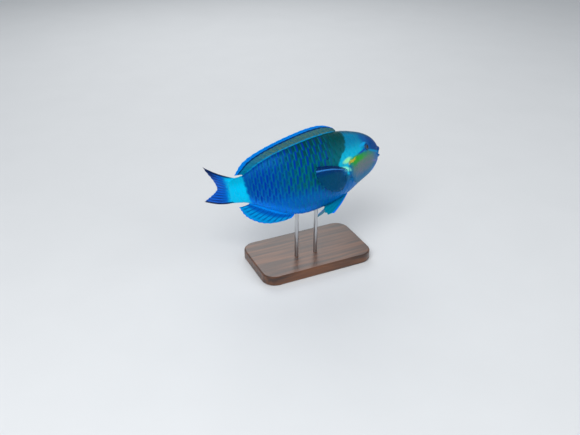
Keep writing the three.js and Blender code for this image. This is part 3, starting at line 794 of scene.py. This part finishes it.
def midline_fin(name, edge_of, start, end, sink, wave, rays, length_of, lean_of):
    """A fin on the midline, whose rays lean back by an angle above or below the body's line."""
    def middle(v, u):
        s = lerp(start, end, v)
        lean = np.radians(lean_of(v))
        reach = length_of(v) * u
        x = -s - reach * np.cos(lean) - 0.06 * reach * u
        y = wave * np.sin(9 * v) * u**2
        z = edge_of(s) - sink + reach * np.sin(lean) * (1 - 0.1 * u**2) + sink * np.minimum(1, 4 * u)
        return np.stack([x, y, z], -1)

    return fin_sheet(name, middle, rays)


def fin_paint(name, **shader):
    """A fin's finish, its place in the fin, the dark of the rays, and two kinds of noise."""
    paint = Paint(name, roughness=0.4, specular_ior_level=0.3, specular_tint=SHEEN, **shader)
    v, u, off = paint.attribute("fin_at")
    fork = paint.times(paint.soft(u, FORK_FROM, 1.0), FORK)
    on_ray = paint.soft(paint.absolute(paint.minus(paint.absolute(off), fork)), 0.2, 0.06)
    fleck = paint.noise(paint.vector(*paint.attribute("straight")), 0.3)
    fine = paint.noise(paint.vector(paint.times(v, 60.0), paint.times(u, 6.0), 0.0), 1.5, 3.0)
    paint.raise_by(fine, 0.0003, 0.3)
    return paint, v, u, on_ray, fleck, fine


dorsal = midline_fin(
    "dorsal", back_of, start=79, end=238, sink=3, wave=1.2, rays=19,
    length_of=through([(0, 9), (0.05, 18), (0.12, 23), (0.35, 24), (0.65, 25), (0.85, 25), (1, 15)]),
    lean_of=through([(0, 58), (0.1, 50), (0.35, 42), (0.5, 35), (0.65, 25), (0.8, 13), (0.9, 4), (1, 0)]),
)
paint, v, u, on_ray, fleck, fine = fin_paint("painted_dorsal")
soft, times = paint.soft, paint.times
u_waved = paint.waved(u, fleck, 0.08)
paint.colour(
    paint.mix(soft(fine, 0.38, 0.64), (36, 92, 104), (84, 112, 92)),  # grey green web
    (soft(v, 0.62, 0.95), (0, 104, 140)),  # bluer behind
    (times(on_ray, soft(u, 0.75, 0.6), 0.45), (6, 96, 128)),
    (soft(u_waved, 0.2, 0.1), (0, 136, 190)),  # bright root
    (times(soft(u_waved, 0.58, 0.63), soft(u, 0.75, 0.72)), (0, 34, 92)),  # dark band
    (soft(u_waved, 0.7, 0.76), (0, 112, 208)),  # blue margin
    (soft(u, 0.95, 0.985), (0, 146, 222)),
)
paint.cover(dorsal)
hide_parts("dorsal_fin")
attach(dorsal, "root")

# The anal fin: the same kind of web under the rear body, with twelve rays. It is moulded in
# painted resin and rooted in the belly's keel.

anal = midline_fin(
    "anal", belly_of, start=172, end=236, sink=-3, wave=1.0, rays=12,
    length_of=through([(0, 8), (0.12, 17), (0.3, 27), (0.5, 31), (0.75, 29), (1, 19)]),
    lean_of=through([(0, -44), (0.25, -36), (0.5, -29), (0.75, -24), (1, -13)]),
)
paint, v, u, on_ray, fleck, _ = fin_paint("painted_anal")
soft, times = paint.soft, paint.times
u_waved = paint.waved(u, fleck, 0.06)
paint.colour(
    paint.mix(soft(u_waved, 0.3, 0.6), (0, 84, 176), (0, 142, 212)),
    (times(on_ray, soft(u, 1.0, 0.7), 0.7), (0, 60, 140)),
    (soft(u_waved, 0.22, 0.12), (0, 130, 232)),  # bright root
    (soft(v, 0.07, 0.02), (0, 110, 226)),  # leading edge
    (soft(u, 0.93, 0.97), (0, 100, 222)),  # margin
)
paint.cover(anal)
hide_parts("anal_fin")
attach(anal, "root")

# The tail fin: thirteen branching rays in a web of painted resin, rooted in the tail stem. The fin
# is forked with trailing tips, and its lobes lean over to the right with the stroke.

TAIL = {"root": 247, "notch": 290, "root_top": 15, "root_foot": -18.5, "full": 3.0}
LOBES = ((37, 12, 2.2, 10), (-23, 32, 1.3, 8))  # tip level, trail, power of the fork, lean


def tail_middle(v, u):
    high = 1 - 2 * v
    size = np.abs(high)
    tip, trails, power, leans = (np.where(high >= 0, upper, lower) for upper, lower in zip(*LOBES))
    root_s = TAIL["root"] - 4 * high**2
    tip_s = TAIL["notch"] + trails * size**power
    root_z = lerp(TAIL["root_top"], TAIL["root_foot"], v) - 0.5
    x = -lerp(root_s, tip_s, u)
    y = -leans * smoothstep(size, 0, 1) * u**1.6
    full = TAIL["full"] * np.sin(math.pi * u) * smoothstep(v, 0.6, 1.0)  # the lower lobe is rounder
    return np.stack([x, y, lerp(root_z, tip * size, u**1.25) - full], -1)


tail = fin_sheet("tail", tail_middle, 13, ray=1.5, root=3.0, columns=16, steps=44, notch=0.02)
paint, v, u, on_ray, fleck, _ = fin_paint("painted_tail")
soft, times = paint.soft, paint.times
high = paint.minus(1.0, times(v, 2.0))
far = paint.absolute(high)
s, _, _ = paint.attribute("straight")
s_waved = paint.waved(s, fleck, 4.0)
paint.colour(
    paint.mix(soft(s_waved, 262, 274), (0, 184, 230), (0, 92, 186)),  # bright root
    (soft(s_waved, 270, 288), (0, 40, 122)),
    (times(on_ray, soft(s, 268, 282)), (0, 96, 214)),
    (times(soft(high, 0.35, 0.8), soft(s, 274, 292)), (0, 24, 84)),  # painted shade on the upper lobe's tip, which faces down
    (times(soft(far, 0.82, 0.95), soft(s, 250, 268)), (2, 22, 70)),  # dark edges
    (times(soft(u, 0.955, 0.985), soft(far, 0.8, 0.6)), (0, 120, 214)),  # light inner margin
)
paint.cover(tail)
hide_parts("tail_fin")
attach(tail, "root")

# The pectoral fins: twelve rays each in a thin clear web of resin, rooted behind the gill cover. The
# leading rays are dark and stiff, with a light streak behind them. The left fin is spread a little
# wider than the right.


def pectoral(name, side, open_by):
    length_of = through([(0, 60), (0.15, 60), (0.4, 54), (0.7, 40), (1, 21)])
    rise_of = through([(0, 38), (0.3, 18), (0.7, -14), (1, -50)])

    def middle(v, u):
        start = on_skin(lerp(83, 86, v), lerp(-7, -19, v), side, -2.5)
        reach = length_of(v) * u
        rise = np.radians(rise_of(v) - 16 * u * (1 - v))
        out = np.radians(lerp(open_by, open_by + 5, v))
        x = -reach * np.cos(rise) * np.cos(out)
        y = side * (reach * np.sin(out) + 3 * np.minimum(1, u * 6) - 4 * u**2)
        return start + np.stack([x, y, reach * np.sin(rise)], -1)

    return fin_sheet(name, middle, 12, membrane=0.35, ray=1.2, root=3.0, notch=0.035)


paint, v, u, on_ray, _, _ = fin_paint("painted_pectoral", alpha=0.55)
soft, times = paint.soft, paint.times
paint.colour(
    paint.mix(soft(u, 0.2, 0.9), (0, 74, 118), (0, 80, 104)),
    (times(on_ray, 0.75), (0, 52, 112)),
    (soft(v, 0.3, 0.2), (0, 50, 118)),
    (times(soft(v, 0.095, 0.11), soft(v, 0.155, 0.13)), (64, 144, 222)),  # light streak
    (soft(v, 0.1, 0.085), (2, 24, 92)),  # leading rays
    (times(soft(u, 0.3, 0.05), soft(v, 0.75, 0.3)), (0, 110, 190)),  # root
)
for side, name, open_by in ((1, "left", 16), (-1, "right", 9)):
    fin = pectoral("pectoral_" + name, side, open_by)
    paint.cover(fin)
    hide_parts("pectoral_fin_" + name)
    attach(fin, "root")

# The pelvic fins: a short spine and five rays on each side, moulded in painted resin and rooted
# under the breast. The right one is held flatter and spread wider than the left.


def pelvic(name, side, back, out, down, length):
    length_of = through([(0, 0.9), (0.2, 1), (0.6, 0.86), (1, 0.6)])
    way = np.array([-back, side * out, -down])
    inner = np.array([-back - 0.12, side * (out - 0.62), -down + 0.12])
    way, inner = way / np.linalg.norm(way), inner / np.linalg.norm(inner)

    def middle(v, u):
        v, u = np.broadcast_arrays(v, u)
        start = np.stack([-lerp(79, 84, v), side * lerp(6.5, 3, v), 0 * v + belly_of(82) + 2.5], -1)
        ray = lerp(way, inner, v[..., None])
        ray /= np.linalg.norm(ray, axis=-1, keepdims=True)
        bow = np.stack([-3 * u**2, 0 * u, 1.5 * u**2 * v], -1)
        return start + ray * (length_of(v) * length * u)[..., None] + bow

    return fin_sheet(name, middle, 6, membrane=0.4, root=2.5, columns=18, steps=36, notch=0.04)


paint, v, u, on_ray, _, _ = fin_paint("painted_pelvic")
paint.colour(
    paint.mix(paint.soft(u, 0.3, 1.0), (0, 126, 172), (0, 142, 156)),
    (paint.times(on_ray, 0.6), (0, 96, 150)),
    (paint.soft(v, 0.14, 0.07), (0, 122, 232)),  # leading spine
)
for side, name, spread in ((1, "left", (0.79, 0.3, 0.54, 58)), (-1, "right", (0.83, 0.43, 0.35, 51))):
    fin = pelvic("pelvic_" + name, side, *spread)
    paint.cover(fin)
    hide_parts("pelvic_fin_" + name)
    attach(fin, "root")

# The eyes: glass balls with a black pupil and a dark blue iris with a thin gold ring, painted
# behind a clear polished front. They are set in the sockets.

glass = Paint("glass_eye", roughness=0.07, specular_ior_level=0.3, coat_weight=0.15, coat_roughness=0.02)
off_axis, around, _ = glass.attribute("eye_at")
soft, times = glass.soft, glass.times
threads = glass.noise(glass.vector(times(around, 6.0), times(off_axis, 2.0), 0.0), 3.0)
glass.colour(
    glass.mix(threads, (2, 50, 92), (12, 84, 116)),
    (soft(off_axis, 0.5, 0.68), (0, 56, 112)),
    (times(soft(off_axis, 0.37, 0.39), soft(off_axis, 0.43, 0.4), 0.6), (96, 80, 36)),  # gold ring
    (soft(off_axis, 0.39, 0.37), (1, 2, 4)),  # pupil
)
EYE_RINGS, EYE_ROUND = 46, 64
polar = np.linspace(0, math.pi, EYE_RINGS + 2)[1:-1, None]
turn = np.linspace(0, 2 * math.pi, EYE_ROUND, endpoint=False)[None, :]
polar, turn = np.broadcast_arrays(polar, turn)
polar, turn = polar[..., None], turn[..., None]
faces = capped(EYE_RINGS, EYE_ROUND, flip=True)
for side, name in ((1, "left"), (-1, "right")):
    surface = on_skin(EYE["s"], EYE["z"], side)
    centre = on_skin(EYE["s"], EYE["z"], side, -EYE["sunk"])
    axis = (surface - centre) / EYE["sunk"]
    first = np.cross(axis, [0, 0, 1.0])
    first /= np.linalg.norm(first)
    second = np.cross(axis, first)
    ball = np.cos(polar) * axis + np.sin(polar) * (np.cos(turn) * first + np.sin(turn) * second)
    ball = np.concatenate([ball.reshape(-1, 3), [axis], [-axis]])
    turned = np.concatenate([turn.reshape(-1), [0, 0]])
    off = np.concatenate([np.sin(polar).reshape(-1), [0, 0]])
    off = np.where(ball @ axis < 0, 1.0, off)
    eye = new_piece("eye_ball_" + name, posed(centre + ball * EYE["radius"]), faces)
    keep(eye, "eye_at", np.stack([off, np.cos(turned), np.sin(turned)], -1))
    glass.cover(eye)
    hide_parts("eye_" + name)
    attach(eye, "root")

# The beak: teeth that are fused into an upper and a lower plate with a finely notched cutting
# edge. The plates are cast in hard resin and set between the lips.

BEAK = {"s": 10.5, "reach": 11.7, "half_width": 11.2, "half_height": 7.2, "thick": 1.6}
BEAK_TURN, BEAK_LIFT = 1.35, 1.2  # radians to either side, and from the cutting edge to the root
TEETH = 18
enamel = Paint("beak_enamel", roughness=0.22, coat_weight=0.5, coat_roughness=0.1)
tooth, up, _ = enamel.attribute("tooth_at")
stain = enamel.noise(enamel.vector(*enamel.attribute("straight")), 0.9)
seams = enamel.absolute(enamel.maths("SINE", enamel.times(tooth, math.pi)))
enamel.colour(
    enamel.mix(stain, (58, 128, 146), (104, 164, 168)),
    (enamel.soft(up, 0.12, 0.6), (6, 84, 122)),
    (enamel.times(enamel.soft(seams, 0.35, 0.1), 0.6), (10, 70, 92)),
)
enamel.raise_by(stain, 0.0002, 0.3)
for name, sign in (("upper", 1), ("lower", -1)):
    turn = np.linspace(-BEAK_TURN, BEAK_TURN, 181)[None, :]
    lift = np.linspace(0, BEAK_LIFT, 26)[:, None]
    turn, lift = np.broadcast_arrays(turn, lift)
    tooth = (turn / (2 * BEAK_TURN) + 0.5) * TEETH + (0.5 if sign < 0 else 0)
    crown = np.abs(np.sin(tooth * math.pi))
    to_edge = 1 - lift / BEAK_LIFT
    edge = 0.32 + 0.3 * (1 - crown)
    grids = []
    for inset, swell in ((0, 0.16 * crown * to_edge), (BEAK["thick"], 0)):
        x = -BEAK["s"] + (BEAK["reach"] - inset + swell) * np.cos(lift) * np.cos(turn)
        y = (BEAK["half_width"] - inset + swell) * np.cos(lift) * np.sin(turn)
        z = LIP["level"] + sign * (edge * to_edge + (BEAK["half_height"] - inset) * np.sin(lift))
        grids.append(np.stack([x, y, z], -1))
    front, back = grids[::-1] if sign < 0 else grids
    marks = np.stack([tooth, lift / BEAK_LIFT, 0 * lift], -1)
    beak = shell("beak_" + name + "_plate", front, back, tooth_at=marks)
    enamel.cover(beak)
    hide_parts("beak_" + name)
    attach(beak, "root")

# The stand: a flat base of stained and lacquered wood, with two rods of brushed steel that are set
# in it and hold the belly.


def drawn_out(paint, stretch, scale, detail):
    """Noise drawn out along the piece, for grain and brushing."""
    place = paint.node("TexCoord", {})["Object"]
    place = paint.node("Mapping", {"Vector": place, "Scale": stretch})[0]
    return paint.noise(place, scale, detail)


wood = Paint("stained_wood", roughness=0.42, coat_weight=0.35, coat_roughness=0.25)
grain = drawn_out(wood, (3.0, 40.0, 40.0), 3.0, 8.0)
wood.colour(wood.mix(wood.soft(grain, 0.35, 0.68), (52, 28, 16), (104, 62, 34)))
wood.raise_by(grain, 0.0003, 0.35)
steel = Paint("brushed_steel", roughness=0.28, metallic=1.0)
brushing = drawn_out(steel, (900.0, 900.0, 30.0), 2.0, 2.0)
steel.colour(steel.mix(brushing, (182, 184, 188), (208, 210, 213)))
steel.raise_by(brushing, 0.0001, 0.3)
for node, paint in (("stand_base", wood), ("stand_rod_front", steel), ("stand_rod_rear", steel)):
    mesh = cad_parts[node].data
    mesh.materials.clear()
    mesh.materials.append(paint.material)

# The room: a wide flat floor of pale plaster, three soft square lamps and an even pale sky, with
# the camera at the photo's viewing angle.

FLOOR_SPAN = 6.0
corners = [(x * FLOOR_SPAN, y * FLOOR_SPAN, 0) for x, y in ((-1, -1), (1, -1), (1, 1), (-1, 1))]
floor = new_piece("floor", corners, [(0, 1, 2, 3)])
plaster = Paint("pale_floor", roughness=0.8)
place = plaster.node("TexCoord", {})["Object"]
plaster.colour(plaster.mix(plaster.noise(place, 9.0), (212, 214, 216), (217, 219, 221)))
plaster.cover(floor)

TARGET = (0, 0, 0.15)  # the middle of the fish
for name, place, size, power in (
    ("key", (-0.9, -0.9, 1.5), 1.2, 28),
    ("fill", (1.4, -1.2, 0.9), 1.6, 10),
    ("rim", (0.4, 1.5, 1.3), 1.2, 12),
):
    light = bpy.data.lights.new(name, "AREA")
    light.energy = power
    light.size = size
    lamp = bpy.data.objects.new(name, light)
    lamp.location = place
    lamp.rotation_euler = (Vector(TARGET) - lamp.location).to_track_quat("-Z", "Y").to_euler()
    bpy.context.scene.collection.objects.link(lamp)
world = bpy.data.worlds.new("room")
world.use_nodes = True
sky = world.node_tree.nodes["Background"].inputs
sky["Color"].default_value = rgb((226, 232, 238))
sky["Strength"].default_value = 0.45
bpy.context.scene.world = world
bpy.context.scene.view_settings.view_transform = "Standard"

FRAME_WIDTH, FRAME_HEIGHT = 580, 435
FISH_AT = (308, 175)  # the pixel at which the middle of the fish stands
AZIMUTH, ELEVATION = math.radians(-25), math.radians(30)
DISTANCE, VIEW_ANGLE = 1.08, math.radians(45)
camera = bpy.data.cameras.new("camera")
camera.sensor_width = 36
camera.lens = camera.sensor_width / 2 / math.tan(VIEW_ANGLE / 2)
focal = FRAME_WIDTH / 2 / math.tan(VIEW_ANGLE / 2)
level = math.cos(ELEVATION)
towards = Vector((math.sin(AZIMUTH) * level, -math.cos(AZIMUTH) * level, math.sin(ELEVATION)))
right = Vector((math.cos(AZIMUTH), math.sin(AZIMUTH), 0))
above = towards.cross(right)
aim = Vector(TARGET)
aim -= right * (FISH_AT[0] - FRAME_WIDTH / 2) / focal * DISTANCE
aim += above * (FISH_AT[1] - FRAME_HEIGHT / 2) / focal * DISTANCE
viewer = bpy.data.objects.new("camera", camera)
viewer.location = aim + towards * DISTANCE
viewer.rotation_euler = (-towards).to_track_quat("-Z", "Y").to_euler()
bpy.context.scene.collection.objects.link(viewer)
bpy.context.scene.camera = viewer
